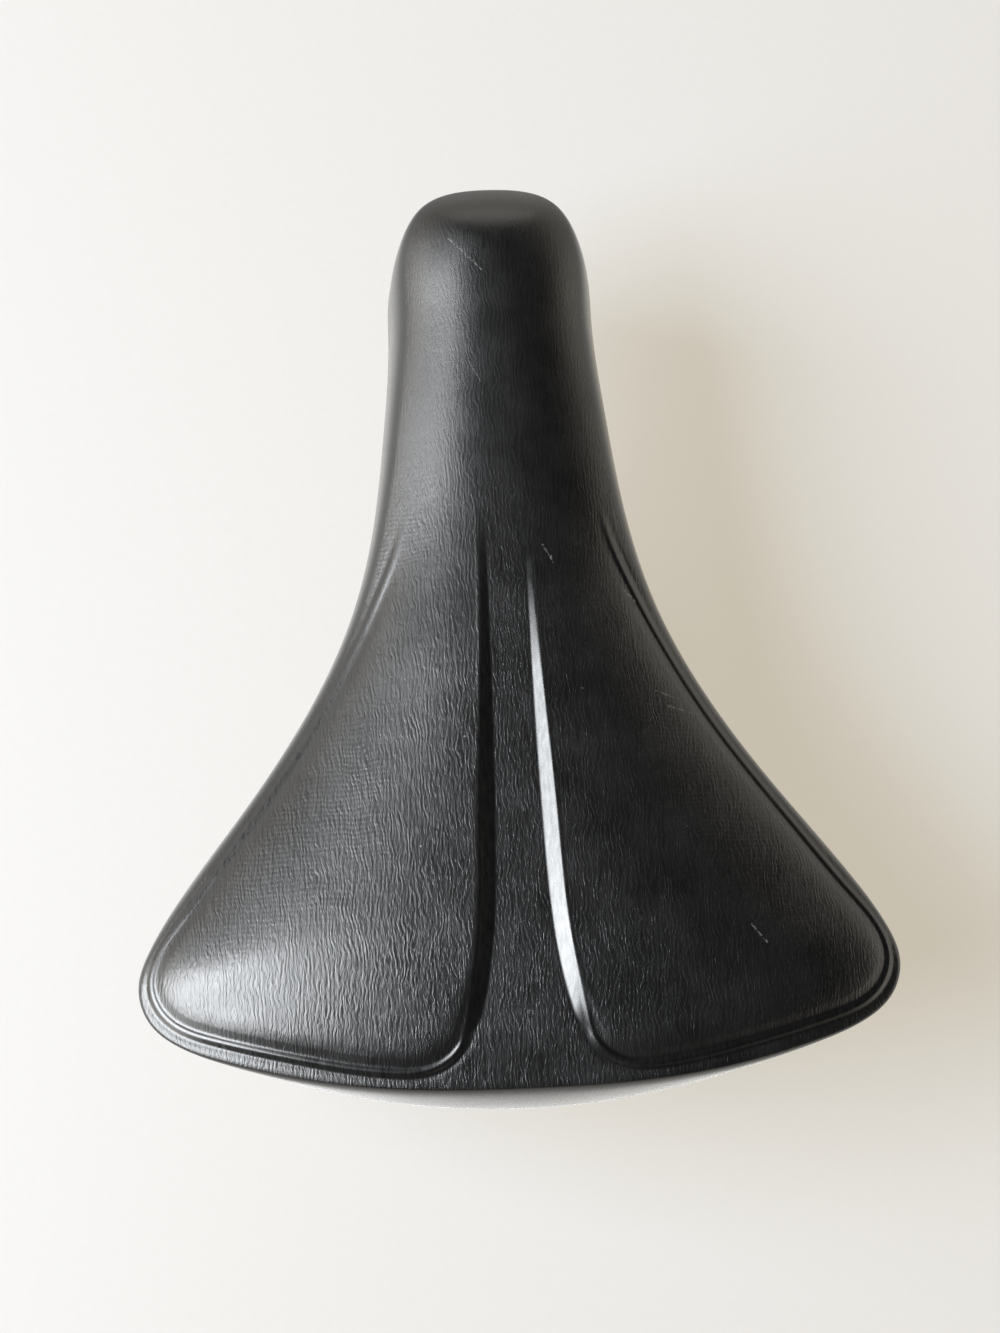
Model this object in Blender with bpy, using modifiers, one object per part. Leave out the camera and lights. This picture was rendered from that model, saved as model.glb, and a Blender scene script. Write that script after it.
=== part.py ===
"""A wide bicycle saddle with a moulded cover, steel rails and a bolted seat clamp.

Frame: metres, +Z up, +Y towards the nose, +X to the rider's right.
The origin is where the seatpost's axis leaves the clamp collar, at the collar's lower face.
"""

import math

import bmesh
import bpy
import numpy as np
from mathutils import Vector
from mathutils.geometry import delaunay_2d_cdt

MM = 0.001

# ---- Driving dimensions ----
POST_DIAMETER = 22.2 * MM
RAIL_DIAMETER = 7 * MM
RAIL_SPACING = 44 * MM
COVER_THICKNESS = 1.2 * MM
BASE_THICKNESS = 2.8 * MM
GAP = 0.4 * MM

# The saddle's half outline from the tail's centre to the nose tip, in millimetres. The shoulder is
# where the top turns down, the rim is the skirt's lower edge, and the spine is the point on the
# centre line that the top falls away from. Turn is how far the top runs on before it turns down.
#   shoulder x, y, z        rim x, y, z         spine y  turn
STATIONS = (
    (0, -138.5, 101.0, 0, -145.0, 71.0, -95, 2.5),
    (32, -137.6, 100.5, 32.5, -142.6, 70.5, -95, 2.5),
    (60, -133.8, 98.0, 61, -136.5, 69.0, -95, 2.5),
    (80, -128.8, 94.5, 81, -129.3, 67.0, -95, 2.5),
    (94, -123.4, 90.5, 95, -122.1, 65.5, -95, 2.5),
    (101.5, -117.0, 87.5, 102.5, -115.5, 64.5, -95, 2.8),
    (104, -108.5, 86.0, 106, -107.0, 63.5, -95, 3.0),
    (101, -99.0, 85.0, 103.7, -97.0, 62.5, -93, 3.0),
    (92.5, -86.0, 84.0, 96, -83.5, 61.5, -84, 3.5),
    (73, -60.0, 82.5, 77.2, -58.5, 59.5, -60, 4.0),
    (54.5, -32.5, 81.5, 59, -31.5, 57.5, -33, 4.5),
    (41, -5.0, 81.5, 45.8, -4.5, 55.5, -6, 5.0),
    (32.6, 24.0, 82.0, 38.0, 24.0, 54.0, 24, 6.0),
    (27.4, 57.0, 82.0, 33.4, 57.0, 53.0, 56, 7.0),
    (25.0, 87.0, 81.0, 31.1, 87.0, 52.0, 82, 7.0),
    (24.2, 106.0, 80.5, 28.8, 106.5, 52.0, 92, 6.0),
    (19.6, 116.4, 80.5, 21.4, 117.4, 53.0, 98, 5.0),
    (0, 121.6, 81.0, 0, 122.2, 53.5, 99, 4.5),
)
DOME_POWER = 2.4  # how the top falls from the spine to the shoulder
CROWN_LOW_Y, CROWN_LOW_Z, CROWN_RISE = 75 * MM, 91 * MM, 0.425  # a parabola along the spine

# One raised pad, right-hand side, in millimetres: along the outer edge, round the corner, along the
# tail and forward beside the centre channel. It fades out before the points in front of y = 26.
PAD_POINTS = (
    (28.3, 21), (35, 1.5), (45.5, -20), (57, -40), (79.5, -72), (92.5, -89.5), (99.5, -99.5),
    (101.3, -108), (97.5, -116), (84, -122.8), (61, -128.7), (36, -133.2), (26, -132.7),
    (19, -128.3), (14.5, -118), (11, -100), (9, -68), (7.5, -33), (6.5, 0), (6.3, 19), (9, 36),
    (17, 44), (25, 36),
)
PAD_HEIGHT, PAD_WALL, PAD_PERIMETER = 1.5 * MM, 3.3 * MM, 560 * MM
PILLOW_HEIGHT, PILLOW_REACH = 1.2 * MM, 7 * MM
PAD_FADE_Y = (-20 * MM, 26 * MM)
CHANNEL_DEPTH, CHANNEL_FADE_Y, CHANNEL_TAIL_Y = 1.8 * MM, (-70 * MM, 22 * MM), (-134 * MM, -108 * MM)
CHANNEL_HALF_WIDTH = (13 * MM, 22 * MM)
RELIEF_REACH = (1.0, 0.97)  # the relief fades out between these shares of the way to the shoulder
SKIRT_LEAN, SKIRT_PULL = 0.03, 0.4  # shares of the skirt's height that shape its curve at the rim
LEAST_FACING = 0.5  # keeps the skirt's start smooth where the top falls along the outline

# The cover's lower edge turns under the base: steps inwards and down from the rim.
HEM_STEPS = ((0.6 * MM, -1.2 * MM), (2.0 * MM, -1.8 * MM), (6.0 * MM, -1.8 * MM))
FOAM_INSET, FOAM_CLEARANCE = 2.8 * MM, 2.4 * MM  # from the cover's outer face, above the base
FOAM_FLOOR_INSET = 4.6 * MM  # the floor's edge from the rim

# The moulded base: an arched plate inside the rim.
BASE_INSET, BASE_RIM_RISE = 1.9 * MM, 2.7 * MM
BASE_LOW_Y, BASE_LOW_Z, BASE_RISE, BASE_POWER = 92 * MM, 70.5 * MM, 0.45, 2.5
RIB_THICKNESS, RIB_DEPTH, RIB_STEP = 2 * MM, 5 * MM, 9 * MM
# The ribs' lines in plan, in millimetres: one down the middle, two to each wing and two across.
RIB_LINES = (
    ((0, -98), (0, 76)), ((11, 62), (50, -100)), ((-11, 62), (-50, -100)), ((22, 16), (82, -98)),
    ((-22, 16), (-82, -98)), ((-27, -4), (27, -4)), ((-60, -62), (60, -62)),
)

# The rails are one wire: straight where the clamp grips, up to the tail bridge and up to the nose.
RAIL_Z = 31 * MM
RAIL_STRAIGHT_Y = (-76 * MM, 24 * MM)
SOCKET_X, SOCKET_Z, SOCKET_Y = 24 * MM, 67.5 * MM, (-126 * MM, -95 * MM)
NOSE_BEND_RADIUS, NOSE_BEND_Y, NOSE_RAIL_Z, NOSE_FLAT_Y = 8.5 * MM, 87 * MM, 61 * MM, 76 * MM
RAIL_FILLET = 16 * MM

# The seat clamp: a collar round the post whose ears a bolt squeezes between two pairs of cups.
BOLT_Y, BOLT_Z, BOLT_RADIUS = -28 * MM, 20 * MM, 4 * MM
EAR_X, EAR_RADIUS = (4.5 * MM, 8 * MM), 13 * MM
COLLAR_HEIGHT, COLLAR_WALL = 25 * MM, 3 * MM
STRAP_Z, STRAP_FRONT_Y, SLOT_TRIM = (9 * MM, 23.5 * MM), -10.4 * MM, 0.5 * MM
INNER_CUP_X, INNER_CUP_FLANGE = (8.4 * MM, 21.6 * MM), 3.7 * MM
OUTER_CUP_X = (22.4 * MM, 28.5 * MM)
CUP_HALF_LENGTH, CUP_LOW_Z, CUP_TOP_Z, CUP_CHAMFER = 12 * MM, 10 * MM, 36.5 * MM, 2 * MM
WASHER_THICKNESS, WASHER_RADIUS = 1.6 * MM, 8 * MM
WASHER_FACE = OUTER_CUP_X[1] + 2 * GAP + WASHER_THICKNESS  # the bolt's head and the nut rest here
NUT_ACROSS_FLATS, NUT_HEIGHT, HEAD_HEIGHT, BOLT_SPARE = 13 * MM, 6.5 * MM, 5.3 * MM, 5 * MM

# Fasteners of the underside.
SCREW_RADIUS, SCREW_BITE, SCREW_POINT = 1.75 * MM, 2.5 * MM, 1 * MM
SCREW_HEAD_RADIUS, SCREW_HEAD_HEIGHT, SCREW_HEAD_RIM = 3.8 * MM, 2.4 * MM, 0.8 * MM
BOSS_RADIUS, PILOT_RADIUS = 4 * MM, 2.15 * MM
BRIDGE_X, BRIDGE_Y, BRIDGE_Z = 40 * MM, (-129 * MM, -108 * MM), (70 * MM, 74.2 * MM)
BRIDGE_TUBE_RADIUS, BRIDGE_TUBE_SPARE, BRIDGE_BORE_SPARE = 6.5 * MM, 2 * MM, 0.5 * MM
BRIDGE_PAD_X, BRIDGE_PAD_Y, BRIDGE_PAD_Z = 13 * MM, (-126 * MM, -111 * MM), 68.5 * MM  # for a bracket
BRIDGE_SCREWS = tuple((x, y) for x in (-35 * MM, 35 * MM) for y in (-123.5 * MM, -113.5 * MM))
KEEPER_Z, KEEPER_X, KEEPER_Y = (54.6 * MM, 57.1 * MM), 19.8 * MM, (77 * MM, 97 * MM)
KEEPER_CHAMFER = 0.6 * MM
KEEPER_SCREWS = ((-16.6 * MM, 87 * MM), (16.6 * MM, 87 * MM))

# Mesh resolution of the curved solids.
LOOP_SAMPLES = 76
COVER_SPACING, FOAM_SPACING, BASE_SPACING = 11 * MM, 15 * MM, 15 * MM
SKIRT_STEPS = (0.25, 0.55, 1.0)
FOAM_STEPS = (0.25, 0.5, 0.82)
GRID_X, GRID_Y = 112 * MM, (-150 * MM, 125 * MM)
GRID_REACH, GRID_KEEP_OFF, OUTLINE_STEP = 0.93, 0.6, 0.7  # the last two are shares of the spacing
SIDES = {"hexagon": 6, "collar": 40, "ear": 32, "washer": 24, "tube": 20, "bolt": 16, "screw": 14, "hole": 12}
BEND_STEPS, FILLET_STEP = 12, math.radians(11)
SHARP_ANGLE, BEVEL_ANGLE = math.radians(35), math.radians(40)
OVERSHOOT = 5 * MM  # how far a drill runs past the solid

MATERIALS = {
    "cover_skin": ((0.018, 0.018, 0.020), 0.42, 0.0),
    "foam": ((0.55, 0.50, 0.32), 0.95, 0.0),
    "base_plastic": ((0.025, 0.025, 0.026), 0.55, 0.0),
    "rail_steel": ((0.06, 0.06, 0.065), 0.30, 0.8),
    "clamp_steel": ((0.10, 0.10, 0.105), 0.38, 0.8),
    "zinc_steel": ((0.62, 0.62, 0.60), 0.30, 1.0),
}


# ---- Scene helpers ----
def clear_scene():
    for old in list(bpy.data.objects):
        bpy.data.objects.remove(old)


def make_collection(name):
    made = bpy.data.collections.new(name)
    bpy.context.scene.collection.children.link(made)
    return made


def make_materials():
    for name, (colour, roughness, metallic) in MATERIALS.items():
        material = bpy.data.materials.new(name)
        material.use_nodes = True
        shader = material.node_tree.nodes["Principled BSDF"]
        shader.inputs["Base Color"].default_value = (*colour, 1)
        shader.inputs["Roughness"].default_value = roughness
        shader.inputs["Metallic"].default_value = metallic
        material.diffuse_color = (*colour, 1)


def place(obj, collection, material=None):
    """Puts the object in that collection only. A helper gets no material and isn't rendered."""
    for old in list(obj.users_collection):
        old.objects.unlink(obj)
    collection.objects.link(obj)
    if material:
        obj.data.materials.append(bpy.data.materials[material])
    else:
        obj.hide_render = True
        obj.display_type = "WIRE"
    return obj


def object_from(name, points, faces, collection, material=None):
    mesh = bpy.data.meshes.new(name)
    mesh.from_pydata([tuple(map(float, p)) for p in points], [], [tuple(map(int, f)) for f in faces])
    mesh.shade_smooth()
    return place(bpy.data.objects.new(name, mesh), collection, material)


def object_from_bmesh(name, work, collection, material=None):
    bmesh.ops.recalc_face_normals(work, faces=work.faces)
    mesh = bpy.data.meshes.new(name)
    work.to_mesh(mesh)
    work.free()
    mesh.shade_smooth()
    mesh.set_sharp_from_angle(angle=SHARP_ANGLE)
    return place(bpy.data.objects.new(name, mesh), collection, material)


def cylinder(name, radius, start, end, collection, material=None, sides=SIDES["tube"]):
    """A closed cylinder between two points."""
    start, end = Vector(start), Vector(end)
    work = bmesh.new()
    bmesh.ops.create_cone(
        work, cap_ends=True, segments=sides, radius1=radius, radius2=radius, depth=(end - start).length
    )
    turn = (end - start).to_track_quat("Z", "Y").to_matrix()
    bmesh.ops.rotate(work, verts=work.verts, matrix=turn)
    bmesh.ops.translate(work, verts=work.verts, vec=(start + end) / 2)
    return object_from_bmesh(name, work, collection, material)


def box(name, low, high, collection, material=None):
    work = bmesh.new()
    bmesh.ops.create_cube(work, size=1)
    low, high = Vector(low), Vector(high)
    bmesh.ops.scale(work, verts=work.verts, vec=high - low)
    bmesh.ops.translate(work, verts=work.verts, vec=(low + high) / 2)
    return object_from_bmesh(name, work, collection, material)


def boolean(obj, other, operation):
    modifier = obj.modifiers.new(f"{operation.lower()} {other.name}", "BOOLEAN")
    modifier.operation = operation
    modifier.object = other
    return obj


def join(obj, *others):
    for other in others:
        boolean(obj, other, "UNION")
    return obj


def cut(obj, *others):
    for other in others:
        boolean(obj, other, "DIFFERENCE")
    return obj


def chamfer(obj, width):
    modifier = obj.modifiers.new("chamfer", "BEVEL")
    modifier.width = width
    modifier.segments = 1
    modifier.limit_method = "ANGLE"
    modifier.angle_limit = BEVEL_ANGLE
    return obj


# ---- Curves and surfaces of the saddle's top ----
def smoothstep(low, high, value):
    share = np.clip((value - low) / (high - low), 0, 1)
    return share * share * (3 - 2 * share)


def closed_spline(rows, samples):
    """Evenly spaced rows on the smooth closed curve (a periodic cubic spline) through the rows."""
    rows = np.array(rows, float)
    count = len(rows)
    after = np.roll(rows, -1, axis=0)
    step = np.linalg.norm((after - rows)[:, :2], axis=1)
    before = np.roll(step, 1)
    slope = (after - rows) / step[:, None]
    system = np.zeros((count, count))
    for i in range(count):
        system[i, i - 1] = before[i]
        system[i, i] = 2 * (before[i] + step[i])
        system[i, (i + 1) % count] = step[i]
    bend = np.linalg.solve(system, 6 * (slope - np.roll(slope, 1, axis=0)))
    knots = np.concatenate([[0], np.cumsum(step)])
    at = np.linspace(0, knots[-1], samples, endpoint=False)
    i = np.searchsorted(knots, at, side="right") - 1
    j = (i + 1) % count
    right = ((at - knots[i]) / step[i])[:, None]
    left = 1 - right
    curve = (left**3 - left) * bend[i] + (right**3 - right) * bend[j]
    return left * rows[i] + right * rows[j] + curve * (step[i] ** 2 / 6)[:, None]


def outline_rows(samples):
    """The stations as one closed loop, from the tail's centre by the right side to the nose and back."""
    half = np.array(STATIONS, float) * MM
    other = half[-2:0:-1] * np.array([-1, 1, 1, -1, 1, 1, 1, 1])
    return closed_spline(np.vstack([half, other]), samples)


def outward(loop):
    """Unit normals, in plan, of a closed loop that runs anticlockwise."""
    along = np.roll(loop, -1, axis=0) - np.roll(loop, 1, axis=0)
    normal = np.stack([along[:, 1], -along[:, 0]], axis=1)
    return normal / np.linalg.norm(normal, axis=1)[:, None]


def inset(loop, distance):
    return loop[:, :2] - outward(loop[:, :2]) * distance


class Rays:
    """Straight rays in plan from the spine to an outer loop. Each point lies on one ray, at a share
    of its length: 0 at the spine and 1 at the loop."""

    def __init__(self, rows, loop):
        half = slice(0, len(rows) // 2 + 1)
        self.spine = rows[half, 6]
        self.end = loop[half]
        self.rows = rows[half]

    def find(self, points):
        x = np.maximum(np.abs(points[:, 0]), 1e-7)[:, None]
        y = points[:, 1][:, None]
        across = self.end[:, 0] * (y - self.spine) - (self.end[:, 1] - self.spine) * x
        i = np.clip((across > 0).sum(axis=1) - 1, 0, len(self.spine) - 2)
        a = np.take_along_axis(across, i[:, None], 1)[:, 0]
        b = np.take_along_axis(across, i[:, None] + 1, 1)[:, 0]
        share = np.clip(a / np.maximum(a - b, 1e-15), 0, 1)
        spine = self.mix(self.spine, i, share)
        end = self.mix(self.end, i, share)
        whole = np.hypot(end[:, 0], end[:, 1] - spine)
        return i, share, spine, np.hypot(x[:, 0], y[:, 0] - spine) / whole

    def mix(self, values, i, share):
        if values.ndim > 1:
            share = share[:, None]
        return values[i] * (1 - share) + values[i + 1] * share


def crown(y):
    return CROWN_LOW_Z + CROWN_RISE * (y - CROWN_LOW_Y) ** 2


def pad_outline(samples=240):
    return closed_spline(np.array(PAD_POINTS) * MM, samples)


def distance_to(loop, points):
    """Signed distance in plan from a closed loop, negative inside."""
    best = np.full(len(points), np.inf)
    inside = np.zeros(len(points), bool)
    for start, stop in zip(loop, np.roll(loop, -1, axis=0), strict=True):
        along = stop - start
        off = points - start
        share = np.clip(off @ along / (along @ along), 0, 1)
        best = np.minimum(best, np.linalg.norm(off - share[:, None] * along, axis=1))
        crosses = (start[1] > points[:, 1]) != (stop[1] > points[:, 1])
        with np.errstate(divide="ignore", invalid="ignore"):
            reach = start[0] + along[0] * (points[:, 1] - start[1]) / along[1]
        inside ^= crosses & (points[:, 0] < reach)
    return np.where(inside, -best, best)


def pad_relief(points):
    """How far the pads stand above the dome, and the channel lies below it, at points in plan."""
    right = np.stack([np.abs(points[:, 0]), points[:, 1]], axis=1)
    off = distance_to(pad_outline(), right)
    rise = smoothstep(0, PAD_WALL, -off)
    pillow = 1 - np.exp(np.minimum(off, 0) / PILLOW_REACH)
    fade = 1 - smoothstep(*PAD_FADE_Y, right[:, 1])
    along = (1 - smoothstep(*CHANNEL_FADE_Y, right[:, 1])) * smoothstep(*CHANNEL_TAIL_Y, right[:, 1])
    channel = along * (1 - smoothstep(*CHANNEL_HALF_WIDTH, right[:, 0])) * (1 - rise)
    return fade * (PAD_HEIGHT * rise + PILLOW_HEIGHT * pillow) - CHANNEL_DEPTH * channel


def top_height(rays, points):
    i, share, spine, reach = rays.find(points)
    shoulder = rays.mix(rays.rows[:, 2], i, share)
    dome = crown(spine) - (crown(spine) - shoulder) * np.minimum(reach, 1) ** DOME_POWER
    return dome + pad_relief(points) * smoothstep(*RELIEF_REACH, reach)


def base_height(rays, points):
    """The height of the base plate's upper face at points in plan."""
    i, share, spine, reach = rays.find(points)
    middle = BASE_LOW_Z + BASE_RISE * (spine - BASE_LOW_Y) ** 2
    rim = rays.mix(rays.rows[:, 5], i, share) + BASE_RIM_RISE
    return middle - (middle - rim) * np.minimum(reach, 1) ** BASE_POWER


def skirt_ring(rows, step):
    """One ring of the skirt, step 0 at the shoulder and 1 at the rim, along a Bezier curve."""
    shoulder, rim = rows[:, 0:3], rows[:, 3:6]
    normal = outward(shoulder[:, :2])
    from_spine = shoulder[:, :2] - np.stack([np.zeros(len(rows)), rows[:, 6]], axis=1)
    length = np.linalg.norm(from_spine, axis=1)
    facing = np.maximum((from_spine * normal).sum(axis=1) / length, LEAST_FACING)
    fall = DOME_POWER * (crown(rows[:, 6]) - shoulder[:, 2]) / (length * facing)
    run = rows[:, 7] / np.sqrt(1 + fall**2)
    first = shoulder + np.column_stack([normal * run[:, None], -fall * run])
    height = shoulder[:, 2] - rim[:, 2]
    second = rim + np.column_stack([-SKIRT_LEAN * normal * height[:, None], SKIRT_PULL * height])
    rest = 1 - step
    return (
        rest**3 * shoulder + 3 * rest**2 * step * first + 3 * rest * step**2 * second + step**3 * rim
    )


def plan_triangles(outline, inside):
    """Triangles that fill the outline and use the inside points: (points, faces), outline first."""
    given = [Vector(p) for p in (*outline, *inside)]
    edges = [(i, (i + 1) % len(outline)) for i in range(len(outline))]
    _, _, faces, sources, _, _ = delaunay_2d_cdt(given, edges, [], 1, 1e-7)
    back = [min(source) for source in sources]
    return np.array(given), [tuple(back[i] for i in face) for face in faces]


def grid_inside(rays, spacing, keep_off, margin=GRID_REACH):
    """Points of a hexagonal grid inside the rays' loop that keep off the given points."""
    made = []
    for k, y in enumerate(np.arange(*GRID_Y, spacing * math.sqrt(3) / 2)):
        for x in np.arange(0, GRID_X, spacing):
            x += spacing / 2 if k % 2 else 0
            made += [(x, y), (-x, y)] if x else [(0, y)]
    made = np.array(made)
    reach = rays.find(made)[3]
    made = made[reach < margin]
    if len(keep_off):
        near = np.linalg.norm(made[:, None] - keep_off[None], axis=2).min(axis=1)
        made = made[near > GRID_KEEP_OFF * spacing]
    return made


def rings_between(first, second, count):
    """Quads between two rings of count points that start at these indices, the second one lower."""
    return [
        (first + i, second + i, second + (i + 1) % count, first + (i + 1) % count) for i in range(count)
    ]


def outer_surface(rows, steps, spacing):
    """The saddle's outside as an open surface: (points, faces, plan points of the top)."""
    rays = Rays(rows, rows[:, :2])
    around = round(PAD_PERIMETER / (OUTLINE_STEP * spacing))
    right = np.vstack([pad_outline(around), inset(pad_outline(around), PAD_WALL)])
    lines = np.vstack([right, right * (-1, 1)])
    inside = np.vstack([lines, grid_inside(rays, spacing, lines)])
    plan, faces = plan_triangles(rows[:, :2], inside)
    points = np.column_stack([plan, top_height(rays, plan)])
    points[: len(rows)] = rows[:, :3]
    below = 0
    for step in steps:
        start = len(points)
        points = np.vstack([points, skirt_ring(rows, step)])
        faces += rings_between(below, start, len(rows))
        below = start
    return points, faces, plan, below


# ---- The soft top and the base ----
def make_cover(parts, rows):
    points, faces, _, below = outer_surface(rows, SKIRT_STEPS, COVER_SPACING)
    rim = rows[:, 3:6]
    for inwards, down in HEM_STEPS:
        start = len(points)
        ring = np.column_stack([inset(rim, inwards), rim[:, 2] + down])
        points = np.vstack([points, ring])
        faces += rings_between(below, start, len(rows))
        below = start
    cover = object_from("cover", points, faces, parts, "cover_skin")
    shell = cover.modifiers.new("thickness", "SOLIDIFY")
    shell.thickness = COVER_THICKNESS
    shell.offset = -1
    return cover


def make_foam(parts, rows):
    points, faces, plan, below = outer_surface(rows, FOAM_STEPS, FOAM_SPACING)
    shape = object_from("foam_pad", points, faces, parts, "foam")
    normals = np.array([v.normal for v in shape.data.vertices])
    points = points - normals * FOAM_INSET
    bpy.data.objects.remove(shape)
    floor_loop = inset(rows[:, 3:6], FOAM_FLOOR_INSET)
    rays = Rays(rows, rows[:, :2])
    floor_rays = Rays(rows, floor_loop)
    base_rays = Rays(rows, inset(rows[:, 3:6], BASE_INSET))
    i, share, spine, reach = rays.find(plan)
    end = floor_rays.mix(floor_rays.end, i, share)
    side = np.where(plan[:, 0] < 0, -1, 1)
    floor = np.column_stack([side * end[:, 0] * reach, spine + (end[:, 1] - spine) * reach])
    floor[np.abs(plan[:, 0]) < 1e-9, 0] = 0
    floor[: len(rows)] = floor_loop
    height = base_height(base_rays, floor) + FOAM_CLEARANCE
    start = len(points)
    points = np.vstack([points, np.column_stack([floor, height])])
    top_faces = [f for f in faces if max(f) < len(plan)]
    faces = faces + [tuple(start + i for i in reversed(f)) for f in top_faces]
    faces += rings_between(below, start, len(rows))
    return object_from("foam_pad", points, faces, parts, "foam")


def make_rib(name, path, rays, cutters):
    """A rib that hangs under the base plate along a line in plan. Its upper edge is in the plate."""
    steps = max(2, round(math.dist(*path) / RIB_STEP))
    line = np.linspace(*path, steps + 1)
    along = (line[-1] - line[0]) / np.linalg.norm(line[-1] - line[0])
    side = np.array([-along[1], along[0]]) * RIB_THICKNESS / 2
    top = base_height(rays, line) - BASE_THICKNESS / 2
    points = []
    for at, z in zip(line, top, strict=True):
        low = z - BASE_THICKNESS / 2 - RIB_DEPTH
        points += [(*(at - side), low), (*(at + side), low), (*(at + side), z), (*(at - side), z)]
    faces = [(0, 1, 2, 3), tuple(4 * steps + k for k in (3, 2, 1, 0))]
    for s in range(steps):
        for k in range(4):
            m = (k + 1) % 4
            faces.append((4 * s + k, 4 * s + 4 + k, 4 * s + 4 + m, 4 * s + m))
    return object_from(name, points, faces, cutters)


def make_base(parts, cutters, rows):
    loop = inset(rows[:, 3:6], BASE_INSET)
    rays = Rays(rows, loop)
    plan, faces = plan_triangles(loop, grid_inside(rays, BASE_SPACING, np.zeros((0, 2))))
    points = np.column_stack([plan, base_height(rays, plan)])
    points[: len(rows), 2] = rows[:, 5] + BASE_RIM_RISE
    base = object_from("base_shell", points, faces, parts, "base_plastic")
    plate = base.modifiers.new("thickness", "SOLIDIFY")
    plate.thickness = BASE_THICKNESS
    plate.offset = -1
    for k, path in enumerate(np.array(RIB_LINES) * MM):
        join(base, make_rib(f"rib_{k}", path, rays, cutters))
    seats = [(*at, *BRIDGE_Z) for at in BRIDGE_SCREWS] + [(*at, *KEEPER_Z) for at in KEEPER_SCREWS]
    for k, (x, y, low, high) in enumerate(seats):
        join(base, make_boss(f"boss_{k}", x, y, high + GAP, rays, cutters))
        tip = screw_tip(low, high) + GAP
        cut(base, drill(f"pilot_{k}", x, y, low, tip, cutters))
    return base


def make_boss(name, x, y, seat, rays, cutters):
    """A round boss from the seat height up into the plate. Its top follows the plate."""
    boss = cylinder(name, BOSS_RADIUS, (x, y, seat), (x, y, seat + MM), cutters, sides=SIDES["bolt"])
    for vertex in boss.data.vertices:
        if vertex.co.z > seat + MM / 2:
            under = base_height(rays, np.array([[vertex.co.x, vertex.co.y]]))[0]
            vertex.co.z = under - BASE_THICKNESS / 2
    return boss


def screw_tip(low, high):
    """The height of the tip of a screw that goes up through a plate between two heights."""
    return high + SCREW_BITE


def drill(name, x, y, low, high, cutters):
    """A cutter for an upright screw hole."""
    return cylinder(name, PILOT_RADIUS, (x, y, low), (x, y, high), cutters, sides=SIDES["hole"])


# ---- Rails and their holders ----
def rounded(corners, radius):
    """A polyline through the corners with a round arc at each inner one."""
    corners = [Vector(c) for c in corners]
    path = [corners[0]]
    for before, corner, after in zip(corners, corners[1:], corners[2:], strict=False):
        first, second = (before - corner).normalized(), (after - corner).normalized()
        half = first.angle(second) / 2
        turn = math.pi - 2 * half
        centre = corner + (first + second).normalized() * radius / math.sin(half)
        start = corner + first * radius / math.tan(half) - centre
        axis = start.cross(corner - centre).normalized()
        steps = max(2, math.ceil(turn / FILLET_STEP))
        for angle in np.linspace(0, turn, steps + 1):
            path.append(centre + start * math.cos(angle) + axis.cross(start) * math.sin(angle))
    path.append(corners[-1])
    return path


def make_rails(parts):
    x = RAIL_SPACING / 2
    right = rounded(
        [
            (SOCKET_X, SOCKET_Y[0], SOCKET_Z),
            (SOCKET_X, SOCKET_Y[1], SOCKET_Z),
            (x, RAIL_STRAIGHT_Y[0], RAIL_Z),
            (x, RAIL_STRAIGHT_Y[1], RAIL_Z),
            (NOSE_BEND_RADIUS, NOSE_FLAT_Y, NOSE_RAIL_Z),
            (NOSE_BEND_RADIUS, NOSE_BEND_Y, NOSE_RAIL_Z),
        ],
        RAIL_FILLET,
    )
    bend = []
    for angle in np.linspace(0, math.pi, BEND_STEPS + 1)[1:-1]:
        across, along = NOSE_BEND_RADIUS * math.cos(angle), NOSE_BEND_RADIUS * math.sin(angle)
        bend.append(Vector((across, NOSE_BEND_Y + along, NOSE_RAIL_Z)))
    left = [Vector((-p.x, p.y, p.z)) for p in reversed(right)]
    path = right + bend + left
    wire = bpy.data.curves.new("rail_frame", "CURVE")
    wire.dimensions = "3D"
    wire.bevel_depth = RAIL_DIAMETER / 2
    wire.bevel_resolution = 2
    wire.use_fill_caps = True
    spline = wire.splines.new("POLY")
    spline.points.add(len(path) - 1)
    for point, at in zip(spline.points, path, strict=True):
        point.co = (*at, 1)
    return place(bpy.data.objects.new("rail_frame", wire), parts, "rail_steel")


def make_bridge(parts, cutters):
    """The tail bridge: a plate under the base with a tube for each rail end and a flat pad below."""
    bridge = box("rear_bridge", (-BRIDGE_X, BRIDGE_Y[0], BRIDGE_Z[0]), (BRIDGE_X, BRIDGE_Y[1], BRIDGE_Z[1]),
                 parts, "base_plastic")
    pad_low = (-BRIDGE_PAD_X, BRIDGE_PAD_Y[0], BRIDGE_PAD_Z)
    pad_high = (BRIDGE_PAD_X, BRIDGE_PAD_Y[1], sum(BRIDGE_Z) / 2)
    join(bridge, box("bridge_pad", pad_low, pad_high, cutters))
    for side in (-1, 1):
        x = side * SOCKET_X
        back, front = (x, BRIDGE_Y[0], SOCKET_Z), (x, BRIDGE_Y[1] + BRIDGE_TUBE_SPARE, SOCKET_Z)
        join(bridge, cylinder(f"bridge_tube_{side}", BRIDGE_TUBE_RADIUS, back, front, cutters))
    for side in (-1, 1):
        x = side * SOCKET_X
        back, front = (x, SOCKET_Y[0] - BRIDGE_BORE_SPARE, SOCKET_Z), (x, SOCKET_Y[1] + OVERSHOOT, SOCKET_Z)
        cut(bridge, rail_hole(f"bridge_bore_{side}", back, front, cutters))
    for k, (x, y) in enumerate(BRIDGE_SCREWS):
        low, high = BRIDGE_Z[0] - OVERSHOOT, BRIDGE_Z[1] + OVERSHOOT
        cut(bridge, drill(f"bridge_hole_{k}", x, y, low, high, cutters))
    return bridge


def rail_hole(name, back, front, cutters):
    """A cutter with a clearance round the rail."""
    return cylinder(name, RAIL_DIAMETER / 2 + GAP, back, front, cutters, sides=SIDES["bolt"])


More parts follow.
